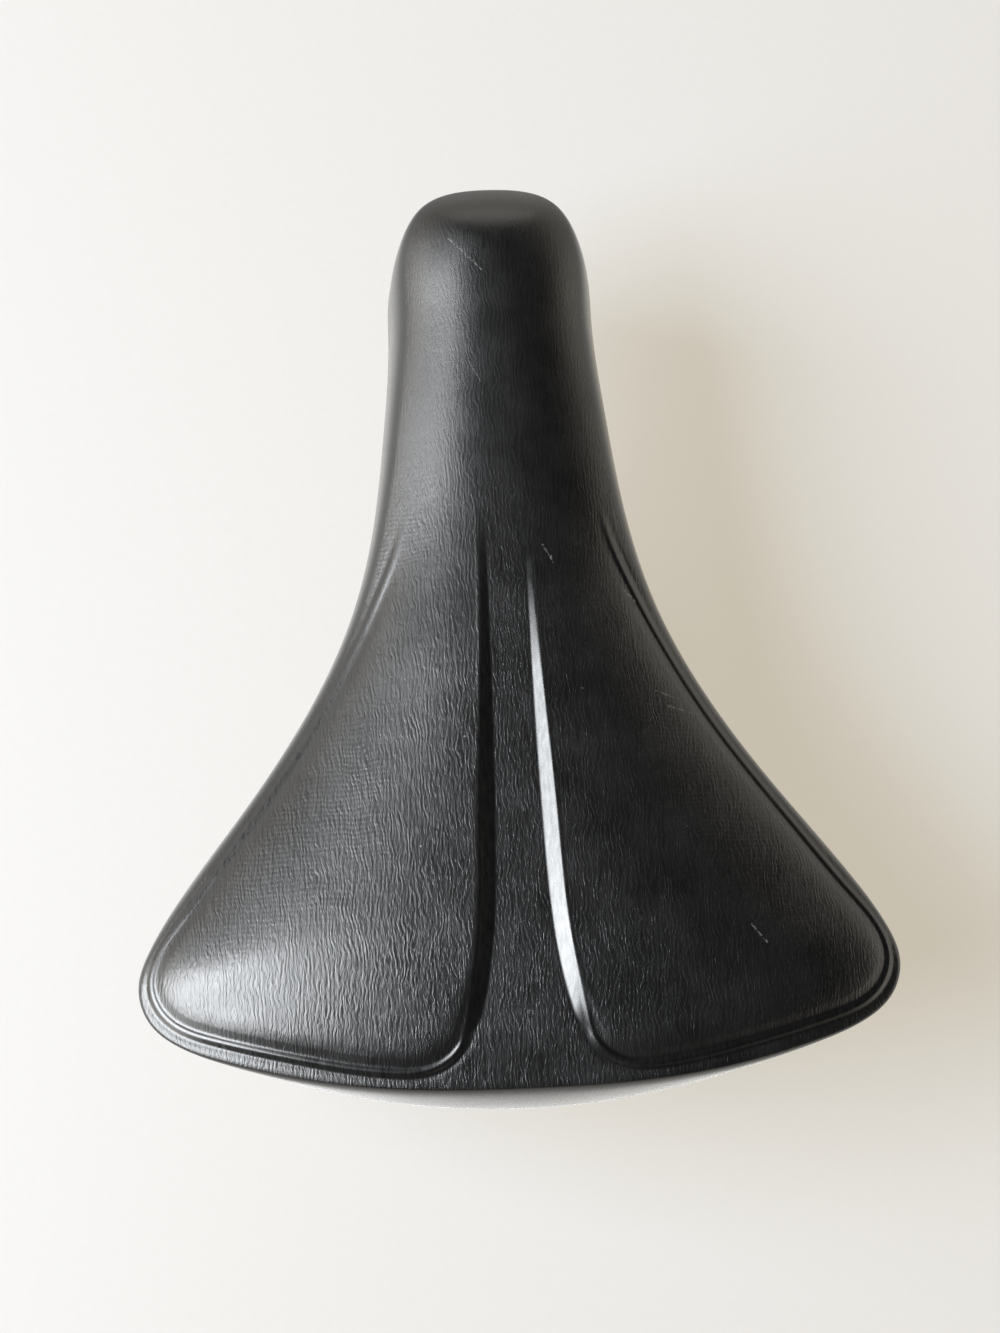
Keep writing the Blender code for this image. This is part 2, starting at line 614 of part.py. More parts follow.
def make_keeper(parts, cutters):
    """The plate that holds the rails' bend up against the nose."""
    keeper = box("nose_keeper", (-KEEPER_X, KEEPER_Y[0], KEEPER_Z[0]), (KEEPER_X, KEEPER_Y[1], KEEPER_Z[1]),
                 parts, "clamp_steel")
    chamfer(keeper, KEEPER_CHAMFER)
    for k, (x, y) in enumerate(KEEPER_SCREWS):
        low, high = KEEPER_Z[0] - OVERSHOOT, KEEPER_Z[1] + OVERSHOOT
        cut(keeper, drill(f"keeper_hole_{k}", x, y, low, high, cutters))
    return keeper


def make_screw(name, x, y, low, high, parts):
    """A pan-head screw driven upwards through a plate between two heights."""
    head_top = low - GAP / 2
    head_low = head_top - SCREW_HEAD_HEIGHT
    tip = screw_tip(low, high)
    profile = [
        (0, tip), (SCREW_RADIUS - SCREW_POINT, tip), (SCREW_RADIUS, tip - SCREW_POINT),
        (SCREW_RADIUS, head_top), (SCREW_HEAD_RADIUS, head_top),
        (SCREW_HEAD_RADIUS, head_low + SCREW_HEAD_RIM), (SCREW_HEAD_RADIUS - SCREW_HEAD_RIM, head_low),
        (0, head_low),
    ]
    mesh = bpy.data.meshes.new(name)
    mesh.from_pydata([(r, 0, z) for r, z in profile], [(i, i + 1) for i in range(len(profile) - 1)], [])
    screw = place(bpy.data.objects.new(name, mesh), parts, "zinc_steel")
    screw.location = (x, y, 0)
    spin = screw.modifiers.new("turn", "SCREW")
    spin.steps = spin.render_steps = SIDES["screw"]
    spin.use_merge_vertices = True
    spin.merge_threshold = 0.00001
    return screw


# ---- The seat clamp ----
def make_collar(parts, cutters):
    """A band round the post with two round ears behind it."""
    inner = POST_DIAMETER / 2
    collar = cylinder("clamp_collar", inner + COLLAR_WALL, (0, 0, 0), (0, 0, COLLAR_HEIGHT),
                      parts, "clamp_steel", sides=SIDES["collar"])
    for side in (-1, 1):
        near, far = side * (EAR_X[0] - SLOT_TRIM), side * EAR_X[1]
        ear = cylinder(f"ear_{side}", EAR_RADIUS, (near, BOLT_Y, BOLT_Z), (far, BOLT_Y, BOLT_Z),
                       cutters, sides=SIDES["ear"])
        low, high = sorted((near, far))
        strap = box(f"strap_{side}", (low, BOLT_Y, STRAP_Z[0]), (high, STRAP_FRONT_Y, STRAP_Z[1]), cutters)
        join(collar, ear, strap)
    low, high = -2 * OVERSHOOT, COLLAR_HEIGHT + 2 * OVERSHOOT
    bore = cylinder("post_bore", inner, (0, 0, low), (0, 0, high), cutters, sides=SIDES["collar"])
    slot_back, slot_front = BOLT_Y - EAR_RADIUS - OVERSHOOT, STRAP_FRONT_Y / 2
    slot = box("collar_slot", (-EAR_X[0], slot_back, low), (EAR_X[0], slot_front, high), cutters)
    return cut(collar, bore, slot, bolt_hole("ear_bore", cutters))


def rail_groove(name, side, cutters):
    x, reach = side * RAIL_SPACING / 2, CUP_HALF_LENGTH + OVERSHOOT
    return rail_hole(name, (x, BOLT_Y - reach, RAIL_Z), (x, BOLT_Y + reach, RAIL_Z), cutters)


def cup_block(name, x, collection, material=None):
    low, high = sorted(x)
    made = box(name, (low, BOLT_Y - CUP_HALF_LENGTH, CUP_LOW_Z), (high, BOLT_Y + CUP_HALF_LENGTH, CUP_TOP_Z),
               collection, material)
    return chamfer(made, CUP_CHAMFER)


def make_inner_cup(name, side, parts, cutters):
    inner, outer = INNER_CUP_X
    cup = cylinder(name, EAR_RADIUS, (side * inner, BOLT_Y, BOLT_Z),
                   (side * (inner + INNER_CUP_FLANGE), BOLT_Y, BOLT_Z), parts, "clamp_steel",
                   sides=SIDES["ear"])
    block = cup_block(f"{name}_block", (side * (inner + INNER_CUP_FLANGE / 2), side * outer), cutters)
    join(cup, block)
    cut(cup, rail_groove(f"{name}_groove", side, cutters), bolt_hole(f"{name}_hole", cutters))
    return cup


def make_outer_cup(name, side, parts, cutters):
    cup = cup_block(name, (side * OUTER_CUP_X[0], side * OUTER_CUP_X[1]), parts, "clamp_steel")
    cut(cup, rail_groove(f"{name}_groove", side, cutters), bolt_hole(f"{name}_hole", cutters))
    return cup


def bolt_hole(name, cutters):
    reach = 2 * OUTER_CUP_X[1]
    left, right = (-reach, BOLT_Y, BOLT_Z), (reach, BOLT_Y, BOLT_Z)
    return cylinder(name, BOLT_RADIUS + GAP, left, right, cutters, sides=SIDES["bolt"])


def make_bolt(parts, cutters):
    """A hexagon bolt that enters from the left."""
    tip = WASHER_FACE + GAP + NUT_HEIGHT + BOLT_SPARE
    bolt = cylinder("clamp_bolt", BOLT_RADIUS, (-WASHER_FACE - MM, BOLT_Y, BOLT_Z), (tip, BOLT_Y, BOLT_Z),
                    parts, "zinc_steel", sides=SIDES["bolt"])
    ends = (-WASHER_FACE - HEAD_HEIGHT, BOLT_Y, BOLT_Z), (-WASHER_FACE, BOLT_Y, BOLT_Z)
    head = cylinder("bolt_head", NUT_ACROSS_FLATS / math.sqrt(3), *ends, cutters, sides=SIDES["hexagon"])
    return join(bolt, head)


def make_ring(name, outer, sides, low, high, parts, cutters):
    """A washer or a nut on the bolt, between two places along X."""
    ends = (low, BOLT_Y, BOLT_Z), (high, BOLT_Y, BOLT_Z)
    ring = cylinder(name, outer, *ends, parts, "zinc_steel", sides=sides)
    return cut(ring, bolt_hole(f"{name}_hole", cutters))


def make_clamp(parts, cutters):
    make_collar(parts, cutters)
    for side, word in ((-1, "left"), (1, "right")):
        make_inner_cup(f"inner_cup_{word}", side, parts, cutters)
        make_outer_cup(f"outer_cup_{word}", side, parts, cutters)
        near = OUTER_CUP_X[1] + GAP
        low, high = sorted((side * near, side * (near + WASHER_THICKNESS)))
        make_ring(f"washer_{word}", WASHER_RADIUS, SIDES["washer"], low, high, parts, cutters)
    make_bolt(parts, cutters)
    low, high = WASHER_FACE, WASHER_FACE + NUT_HEIGHT
    make_ring("clamp_nut", NUT_ACROSS_FLATS / math.sqrt(3), 6, low, high, parts, cutters)


def main():
    clear_scene()
    make_materials()
    parts = make_collection("bicycle_saddle")
    cutters = make_collection("cutters")
    rows = outline_rows(LOOP_SAMPLES)
    make_cover(parts, rows)
    make_foam(parts, rows)
    make_base(parts, cutters, rows)
    make_rails(parts)
    make_bridge(parts, cutters)
    make_keeper(parts, cutters)
    for k, (x, y) in enumerate(BRIDGE_SCREWS, 1):
        make_screw(f"bridge_screw_{k}", x, y, *BRIDGE_Z, parts)
    for k, (x, y) in enumerate(KEEPER_SCREWS, 1):
        make_screw(f"nose_screw_{k}", x, y, *KEEPER_Z, parts)
    make_clamp(parts, cutters)


main()
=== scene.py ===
"""The finished look of a wide bicycle saddle: its moulded skin, rails, base and seat clamp."""

import math

import bpy
import numpy as np
from mathutils import Matrix, Vector
from mathutils.geometry import delaunay_2d_cdt


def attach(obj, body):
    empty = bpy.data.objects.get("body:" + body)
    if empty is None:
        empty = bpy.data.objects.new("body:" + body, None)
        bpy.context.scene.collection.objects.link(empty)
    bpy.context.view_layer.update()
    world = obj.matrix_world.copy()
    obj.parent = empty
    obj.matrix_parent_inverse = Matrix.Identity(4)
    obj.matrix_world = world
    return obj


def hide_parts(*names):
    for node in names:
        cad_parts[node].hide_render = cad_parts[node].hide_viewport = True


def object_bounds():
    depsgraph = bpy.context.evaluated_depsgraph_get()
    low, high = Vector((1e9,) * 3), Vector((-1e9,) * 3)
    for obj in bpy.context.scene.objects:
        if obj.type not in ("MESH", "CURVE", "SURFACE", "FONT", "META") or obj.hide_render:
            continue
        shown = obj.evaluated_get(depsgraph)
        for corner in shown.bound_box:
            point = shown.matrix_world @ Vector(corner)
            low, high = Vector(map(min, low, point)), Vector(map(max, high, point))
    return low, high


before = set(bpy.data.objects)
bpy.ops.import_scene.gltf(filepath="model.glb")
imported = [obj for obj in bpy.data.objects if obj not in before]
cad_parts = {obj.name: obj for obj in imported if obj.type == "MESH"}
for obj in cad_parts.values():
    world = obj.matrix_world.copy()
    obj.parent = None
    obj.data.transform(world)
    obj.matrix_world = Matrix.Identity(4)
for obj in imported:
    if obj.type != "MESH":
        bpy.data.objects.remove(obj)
CAD_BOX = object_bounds()
MM = 0.001

# ---- The saddle's shape, as the CAD has it ----
# Half outline from the tail's centre to the nose tip, in millimetres. The shoulder is where the top
# turns down, the rim is the skirt's lower edge, and the spine is the point on the centre line that
# the top falls away from. Turn is how far the top runs on before it turns down.
#   shoulder x, y, z        rim x, y, z         spine y  turn
STATIONS = (
    (0, -138.5, 101.0, 0, -145.0, 71.0, -95, 2.5),
    (32, -137.6, 100.5, 32.5, -142.6, 70.5, -95, 2.5),
    (60, -133.8, 98.0, 61, -136.5, 69.0, -95, 2.5),
    (80, -128.8, 94.5, 81, -129.3, 67.0, -95, 2.5),
    (94, -123.4, 90.5, 95, -122.1, 65.5, -95, 2.5),
    (101.5, -117.0, 87.5, 102.5, -115.5, 64.5, -95, 2.8),
    (104, -108.5, 86.0, 106, -107.0, 63.5, -95, 3.0),
    (101, -99.0, 85.0, 103.7, -97.0, 62.5, -93, 3.0),
    (92.5, -86.0, 84.0, 96, -83.5, 61.5, -84, 3.5),
    (73, -60.0, 82.5, 77.2, -58.5, 59.5, -60, 4.0),
    (54.5, -32.5, 81.5, 59, -31.5, 57.5, -33, 4.5),
    (41, -5.0, 81.5, 45.8, -4.5, 55.5, -6, 5.0),
    (32.6, 24.0, 82.0, 38.0, 24.0, 54.0, 24, 6.0),
    (27.4, 57.0, 82.0, 33.4, 57.0, 53.0, 56, 7.0),
    (25.0, 87.0, 81.0, 31.1, 87.0, 52.0, 82, 7.0),
    (24.2, 106.0, 80.5, 28.8, 106.5, 52.0, 92, 6.0),
    (19.6, 116.4, 80.5, 21.4, 117.4, 53.0, 98, 5.0),
    (0, 121.6, 81.0, 0, 122.2, 53.5, 99, 4.5),
)
DOME_POWER = 2.4  # how the top falls from the spine to the shoulder
CROWN_LOW_Y, CROWN_LOW_Z, CROWN_RISE = 75 * MM, 91 * MM, 0.425  # a parabola along the spine
SKIRT_LEAN, SKIRT_PULL = 0.03, 0.4  # shares of the skirt's height that shape its curve at the rim
LEAST_FACING = 0.5  # keeps the skirt's start smooth where the top falls along the outline

# One raised pad, right-hand side, in millimetres.
PAD_POINTS = (
    (28.3, 21), (35, 1.5), (45.5, -20), (57, -40), (79.5, -72), (92.5, -89.5), (99.5, -99.5),
    (101.3, -108), (97.5, -116), (84, -122.8), (61, -128.7), (36, -133.2), (26, -132.7),
    (19, -128.3), (14.5, -118), (11, -100), (9, -68), (7.5, -33), (6.5, 0), (6.3, 19), (9, 36),
    (17, 44), (25, 36),
)
EDGE_HEIGHT = 0.9 * MM  # the pad's edge above the dome, then the pillow's further rise
PILLOW_HEIGHT, PILLOW_REACH = 1.8 * MM, 13 * MM
PAD_FADE_Y, BEAD_FADE_Y = (-25 * MM, 26 * MM), (2 * MM, 26 * MM)
CHANNEL_DEPTH, CHANNEL_FADE_Y, CHANNEL_TAIL_Y = 1.35 * MM, (-90 * MM, 14 * MM), (-134 * MM, -104 * MM)
CHANNEL_HALF_WIDTH = (13 * MM, 22 * MM)
BESIDE_X, BESIDE_Y = (13 * MM, 21 * MM), (-134 * MM, -118 * MM)  # where an edge is beside the channel
# Across the pad's edge, as signed distances outwards: at the outer edge, and beside the channel.
FOOT, CREST = (-0.9 * MM, 2.9 * MM), (-4.6 * MM, -2.4 * MM)
BEAD_AT, BEAD_HEIGHT, BEAD_WIDTH = (0.1 * MM, -1.6 * MM), (0.5 * MM, 0.07 * MM), (0.95 * MM, 0.6 * MM)
GROOVE_AT, GROOVE_DEPTH, GROOVE_WIDTH = 2.0 * MM, 0.2 * MM, 0.7 * MM
FRONT_WIDTH, FRONT_Y = 0.4, (-70 * MM, 6 * MM)  # the channel's wall narrows towards the front
# The smooth strips: where they fade outside and inside an outer edge, and from a wall's foot and crest.
STRIP_OUTSIDE, STRIP_INSIDE = (2.4 * MM, 1.4 * MM), (-1.8 * MM, -0.8 * MM)
WALL_FOOT, WALL_CREST = (0.3 * MM, -0.4 * MM), (-0.6 * MM, 0)
RELIEF_EDGE = -1.2 * MM  # the relief fades out over this much inside the shoulder

# The pads fall away towards this line only, and not towards the channel: right-hand side.
PILLOW_POINTS = (
    *PAD_POINTS[:12], (0, -133.2), (-60, -133), (-110, -60), (-60, 40), (0, 46), *PAD_POINTS[-2:],
)

COVER_THICKNESS = 1.2 * MM
HEM_STEPS = ((0.25 * MM, -0.9 * MM), (0.9 * MM, -1.5 * MM), (2.0 * MM, -1.8 * MM), (6.0 * MM, -1.8 * MM))
LOOP_SAMPLES, PAD_SAMPLES, SKIRT_RINGS = 640, 480, 14
RING_POWER = 1.25  # draws the skirt's rings together near the shoulder
FINE_SPACING, GRID_SPACING, LID_SPACING = 1.1 * MM, 2.2 * MM, 9 * MM
GRID_X, GRID_Y = 112 * MM, (-150 * MM, 125 * MM)
PAD_PERIMETER, BAND_FRONT_Y, GRID_FRONT_Y, BAND_LEAST_X = 560 * MM, 28 * MM, 29 * MM, 2.2 * MM
BAND_WIDTH, EDGE_KEEP_OFF = (-6 * MM, 4.7 * MM), 0.8 * MM
# Rings of close points along the pads' edges, in millimetres outside the edge.
BAND_OFFSETS = (3.7, 3.1, 2.6, 2.2, 1.85, 1.5, 1.15, 0.8, 0.5, 0.2, -0.1, -0.4, -0.7, -1.05, -1.4,
                -1.8, -2.2, -2.6, -3.1, -3.6, -4.2, -4.9)
# The cover's inside: how far it lies in from the rim, the skirt and the shoulder, and under the top.
LINING_STEPS, LINING_RIM, LINING_SPARE = (0.85, 0.55, 0.28), 1.4 * MM, 0.2 * MM
LID_INSET, LID_DROP, LID_DEPTH, LID_KEEP_OFF = 1.8 * MM, 1.4 * MM, 1.7 * MM, 4 * MM
SKIRT_FADE = (1 * MM, 6 * MM)  # how far down from the shoulder the top's skin becomes the skirt's


# ---- Helpers ----
def smoothstep(low, high, value):
    share = np.clip((value - low) / (high - low), 0, 1)
    return share * share * (3 - 2 * share)


def mix(a, b, share):
    return a + (b - a) * share


def closed_spline(rows, samples):
    """Evenly spaced rows on the smooth closed curve (a periodic cubic spline) through the rows."""
    rows = np.array(rows, float)
    count = len(rows)
    after = np.roll(rows, -1, axis=0)
    step = np.linalg.norm((after - rows)[:, :2], axis=1)
    before = np.roll(step, 1)
    slope = (after - rows) / step[:, None]
    system = np.zeros((count, count))
    for i in range(count):
        system[i, i - 1] = before[i]
        system[i, i] = 2 * (before[i] + step[i])
        system[i, (i + 1) % count] = step[i]
    bend = np.linalg.solve(system, 6 * (slope - np.roll(slope, 1, axis=0)))
    knots = np.concatenate([[0], np.cumsum(step)])
    at = np.linspace(0, knots[-1], samples, endpoint=False)
    i = np.searchsorted(knots, at, side="right") - 1
    j = (i + 1) % count
    right = ((at - knots[i]) / step[i])[:, None]
    left = 1 - right
    curve = (left**3 - left) * bend[i] + (right**3 - right) * bend[j]
    return left * rows[i] + right * rows[j] + curve * (step[i] ** 2 / 6)[:, None]


def outline_rows(samples):
    half = np.array(STATIONS, float) * MM
    other = half[-2:0:-1] * np.array([-1, 1, 1, -1, 1, 1, 1, 1])
    return closed_spline(np.vstack([half, other]), samples)


def outward(loop):
    """Unit normals, in plan, of a closed loop that runs anticlockwise."""
    along = np.roll(loop, -1, axis=0) - np.roll(loop, 1, axis=0)
    normal = np.stack([along[:, 1], -along[:, 0]], axis=1)
    return normal / np.linalg.norm(normal, axis=1)[:, None]


def inset(loop, distance):
    return loop[:, :2] - outward(loop[:, :2]) * distance


def distance_to(loop, points):
    """Signed distance in plan from a closed loop, negative inside."""
    best = np.full(len(points), np.inf)
    inside = np.zeros(len(points), bool)
    for start, stop in zip(loop, np.roll(loop, -1, axis=0), strict=True):
        along = stop - start
        off = points - start
        share = np.clip(off @ along / (along @ along), 0, 1)
        best = np.minimum(best, np.linalg.norm(off - share[:, None] * along, axis=1))
        crosses = (start[1] > points[:, 1]) != (stop[1] > points[:, 1])
        with np.errstate(divide="ignore", invalid="ignore"):
            reach = start[0] + along[0] * (points[:, 1] - start[1]) / along[1]
        inside ^= crosses & (points[:, 0] < reach)
    return np.where(inside, -best, best)


class Rays:
    """Straight rays in plan from the spine to an outer loop. Each point lies on one ray, at a share
    of its length: 0 at the spine and 1 at the loop."""

    def __init__(self, rows, loop):
        half = slice(0, len(rows) // 2 + 1)
        self.spine = rows[half, 6]
        self.end = loop[half]
        self.rows = rows[half]

    def find(self, points):
        x = np.maximum(np.abs(points[:, 0]), 1e-7)[:, None]
        y = points[:, 1][:, None]
        across = self.end[:, 0] * (y - self.spine) - (self.end[:, 1] - self.spine) * x
        i = np.clip((across > 0).sum(axis=1) - 1, 0, len(self.spine) - 2)
        a = np.take_along_axis(across, i[:, None], 1)[:, 0]
        b = np.take_along_axis(across, i[:, None] + 1, 1)[:, 0]
        share = np.clip(a / np.maximum(a - b, 1e-15), 0, 1)
        spine = self.mix(self.spine, i, share)
        end = self.mix(self.end, i, share)
        whole = np.hypot(end[:, 0], end[:, 1] - spine)
        return i, share, spine, np.hypot(x[:, 0], y[:, 0] - spine) / whole

    def mix(self, values, i, share):
        if values.ndim > 1:
            share = share[:, None]
        return values[i] * (1 - share) + values[i + 1] * share


def crown(y):
    return CROWN_LOW_Z + CROWN_RISE * (y - CROWN_LOW_Y) ** 2


def dome_height(rays, points):
    i, share, spine, reach = rays.find(points)
    shoulder = rays.mix(rays.rows[:, 2], i, share)
    return crown(spine) - (crown(spine) - shoulder) * np.minimum(reach, 1) ** DOME_POWER


def ramp(low, high, value):
    """From 0 to 1, straight in the middle and rounded over a fifth at each end."""
    t = np.clip((value - low) / (high - low), 0, 1)
    soft = 0.2
    ends = np.where(t < 0.5, t, 1 - t)
    eased = np.where(ends < soft, ends**2 / (2 * soft), ends - soft / 2) / (1 - soft)
    return np.where(t < 0.5, eased, 1 - eased)


def pad_relief(points, shoulder_loop, pad_loop, pillow_loop):
    """How far the moulded pads stand above the dome, and how smooth the skin is there."""
    right = np.stack([np.abs(points[:, 0]), points[:, 1]], axis=1)
    x, y = right[:, 0], right[:, 1]
    off = distance_to(pad_loop, right)
    beside = (1 - smoothstep(*BESIDE_X, x)) * smoothstep(*BESIDE_Y, y)
    width = 1 - (1 - FRONT_WIDTH) * smoothstep(*FRONT_Y, y) * beside
    foot, crest = mix(*FOOT, beside) * width, mix(*CREST, beside) * width
    rise = ramp(foot, crest, off)
    pad_fade = 1 - smoothstep(*PAD_FADE_Y, y)
    bead_fade = 1 - smoothstep(*BEAD_FADE_Y, y)
    pillow = PILLOW_HEIGHT * (1 - np.exp(np.minimum(distance_to(pillow_loop, right), 0) / PILLOW_REACH))
    along = (1 - smoothstep(*CHANNEL_FADE_Y, y)) * smoothstep(*CHANNEL_TAIL_Y, y)
    channel = CHANNEL_DEPTH * along * (1 - smoothstep(*CHANNEL_HALF_WIDTH, x)) * (1 - rise)
    bead_at, bead_width = mix(*BEAD_AT, beside), mix(*BEAD_WIDTH, beside)
    bead_height = mix(*BEAD_HEIGHT, beside)
    bead = bead_height * np.exp(-(((off - bead_at) / bead_width) ** 2))
    groove = GROOVE_DEPTH * (1 - beside) * np.exp(-(((off - GROOVE_AT) / GROOVE_WIDTH) ** 2))
    at_edge = smoothstep(0, RELIEF_EDGE, distance_to(shoulder_loop, points))
    height = pad_fade * (EDGE_HEIGHT * rise + pillow) - channel + bead_fade * (bead - groove)
    outer = smoothstep(*STRIP_OUTSIDE, off) * smoothstep(*STRIP_INSIDE, off)
    inner = smoothstep(foot + WALL_FOOT[0], foot + WALL_FOOT[1], off)
    inner = inner * smoothstep(crest + WALL_CREST[0], crest + WALL_CREST[1], off)
    return height * at_edge, mix(outer, inner, beside) * bead_fade


def skirt_ring(rows, step):
    """One ring of the skirt, step 0 at the shoulder and 1 at the rim, along a Bezier curve."""
    shoulder, rim = rows[:, 0:3], rows[:, 3:6]
    normal = outward(shoulder[:, :2])
    from_spine = shoulder[:, :2] - np.stack([np.zeros(len(rows)), rows[:, 6]], axis=1)
    length = np.linalg.norm(from_spine, axis=1)
    facing = np.maximum((from_spine * normal).sum(axis=1) / length, LEAST_FACING)
    fall = DOME_POWER * (crown(rows[:, 6]) - shoulder[:, 2]) / (length * facing)
    run = rows[:, 7] / np.sqrt(1 + fall**2)
    first = shoulder + np.column_stack([normal * run[:, None], -fall * run])
    height = shoulder[:, 2] - rim[:, 2]
    second = rim + np.column_stack([-SKIRT_LEAN * normal * height[:, None], SKIRT_PULL * height])
    rest = 1 - step
    return (
        rest**3 * shoulder + 3 * rest**2 * step * first + 3 * rest * step**2 * second + step**3 * rim
    )


def plan_triangles(outline, inside):
    """Triangles that fill the outline and use the inside points: (points, faces), outline first."""
    given = [Vector(p) for p in (*outline, *inside)]
    edges = [(i, (i + 1) % len(outline)) for i in range(len(outline))]
    _, _, faces, sources, _, _ = delaunay_2d_cdt(given, edges, [], 1, 1e-7)
    back = [min(source) for source in sources]
    return np.array(given), [tuple(back[i] for i in face) for face in faces]


def hex_grid(spacing):
    made = []
    for k, y in enumerate(np.arange(*GRID_Y, spacing * math.sqrt(3) / 2)):
        for x in np.arange(0, GRID_X, spacing):
            x += spacing / 2 if k % 2 else 0
            made += [(x, y), (-x, y)] if x else [(0, y)]
    return np.array(made)


def rings_between(first, second, count):
    return [
        (first + i, second + i, second + (i + 1) % count, first + (i + 1) % count) for i in range(count)
    ]


def top_points(shoulder_loop, pad_loop):
    """Points in plan for the top's mesh: close together along the pads' edges, and a grid elsewhere."""
    band = []
    for offset in BAND_OFFSETS:
        count = round(PAD_PERIMETER / FINE_SPACING)
        ring = inset(closed_spline(np.array(PAD_POINTS) * MM, count), -offset * MM)
        band.append(ring[ring[:, 1] < BAND_FRONT_Y])
    band = np.vstack(band)
    band = band[band[:, 0] > BAND_LEAST_X]
    band = np.vstack([band, band * (-1, 1)])
    grid = hex_grid(GRID_SPACING)
    off = distance_to(pad_loop, np.abs(grid) * (1, 0) + grid * (0, 1))
    far = (off > BAND_WIDTH[1]) | (off < BAND_WIDTH[0]) | (grid[:, 1] > GRID_FRONT_Y)
    points = np.vstack([band, grid[far]])
    return points[distance_to(shoulder_loop, points) < -EDGE_KEEP_OFF]


def new_object(name, points, faces, material):
    mesh = bpy.data.meshes.new(name)
    mesh.from_pydata([tuple(map(float, p)) for p in points], [], [tuple(map(int, f)) for f in faces])
    mesh.validate()
    mesh.shade_smooth()
    made = bpy.data.objects.new(name, mesh)
    bpy.context.scene.collection.objects.link(made)
    mesh.materials.append(material)
    return made


def add_floats(obj, name, values):
    layer = obj.data.attributes.new(name, "FLOAT", "POINT")
    layer.data.foreach_set("value", np.asarray(values, np.float32))


def add_vectors(obj, name, values):
    layer = obj.data.attributes.new(name, "FLOAT_VECTOR", "POINT")
    layer.data.foreach_set("vector", np.asarray(values, np.float32).ravel())


def outside_rings(rows):
    """The skirt's rings down to the rim, then the hem's, turned under."""
    rim = rows[:, 3:6]
    rings = [skirt_ring(rows, (k / SKIRT_RINGS) ** RING_POWER) for k in range(1, SKIRT_RINGS + 1)]
    return rings + [np.column_stack([inset(rim, inwards), rim[:, 2] + down]) for inwards, down in HEM_STEPS]


def lining_rings(rows):
    """The rings of the cover's inside, from the hem up to the edge of the lid under the top."""
    rim = rows[:, 3:6]
    hem_inwards, hem_down = HEM_STEPS[-1]
    floor = rim[:, 2] + hem_down + COVER_THICKNESS
    rings = [np.column_stack([inset(rim, inwards), floor]) for inwards in (hem_inwards, LINING_RIM)]
    for step in LINING_STEPS:
        ring = skirt_ring(rows, step)
        rings.append(np.column_stack([inset(ring, COVER_THICKNESS + LINING_SPARE), ring[:, 2]]))
    rings.append(np.column_stack([inset(rows, LID_INSET), rows[:, 2] - LID_DROP]))
    return rings


def make_cover(material):
    """The moulded skin: the detailed outside, a turned-under hem and a plain inside."""
    rows = outline_rows(LOOP_SAMPLES)
    shoulder_loop = rows[:, :2]
    loops = [shoulder_loop]
    loops += [closed_spline(np.array(line) * MM, PAD_SAMPLES) for line in (PAD_POINTS, PILLOW_POINTS)]
    rays = Rays(rows, shoulder_loop)
    plan, faces = plan_triangles(shoulder_loop, top_points(*loops[:2]))
    relief, strip = pad_relief(plan, *loops)
    z = dome_height(rays, plan) + relief
    z[:LOOP_SAMPLES] = rows[:, 2]
    points = [np.column_stack([plan, z])]
    spread = [np.column_stack([plan, np.zeros(len(plan))])]
    below, last, run = 0, rows[:, :3], np.zeros(LOOP_SAMPLES)
    start = len(plan)
    normal = outward(shoulder_loop)
    for ring in outside_rings(rows):
        run = run + np.linalg.norm(ring - last, axis=1)
        last = ring
        points.append(ring)
        spread.append(np.column_stack([shoulder_loop + normal * run[:, None], run]))
        faces += rings_between(below, start, LOOP_SAMPLES)
        below, start = start, start + LOOP_SAMPLES
    inner = lining_rings(rows)
    for ring in inner:
        points.append(ring)
        spread.append(np.column_stack([shoulder_loop, np.zeros(LOOP_SAMPLES)]))
        faces += rings_between(below, start, LOOP_SAMPLES)
        below, start = start, start + LOOP_SAMPLES
    lid_loop = inner[-1][:, :2]
    grid = hex_grid(LID_SPACING)
    lid, lid_faces = plan_triangles(lid_loop, grid[distance_to(lid_loop, grid) < -LID_KEEP_OFF])
    lid_relief = np.minimum(pad_relief(lid, *loops)[0], 0)
    lid_z = dome_height(rays, lid) - LID_DEPTH + lid_relief
    points.append(np.column_stack([lid[LOOP_SAMPLES:], lid_z[LOOP_SAMPLES:]]))
    spread.append(np.column_stack([lid[LOOP_SAMPLES:], np.zeros(len(lid) - LOOP_SAMPLES)]))
    shift = start - LOOP_SAMPLES
    for face in lid_faces:
        faces.append(tuple(i + (below if i < LOOP_SAMPLES else shift) for i in reversed(face)))
    points = np.vstack(points)
    cover = new_object("cover_skin", points, faces, material)
    add_vectors(cover, "unfolded", np.vstack(spread))
    smooth = np.zeros(len(points))
    smooth[: len(plan)] = strip
    add_floats(cover, "smooth", smooth)
    side = np.vstack(spread)[:, 2]
    add_floats(cover, "skirt", smoothstep(*SKIRT_FADE, side))
    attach(cover, "saddle")
    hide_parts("cover")


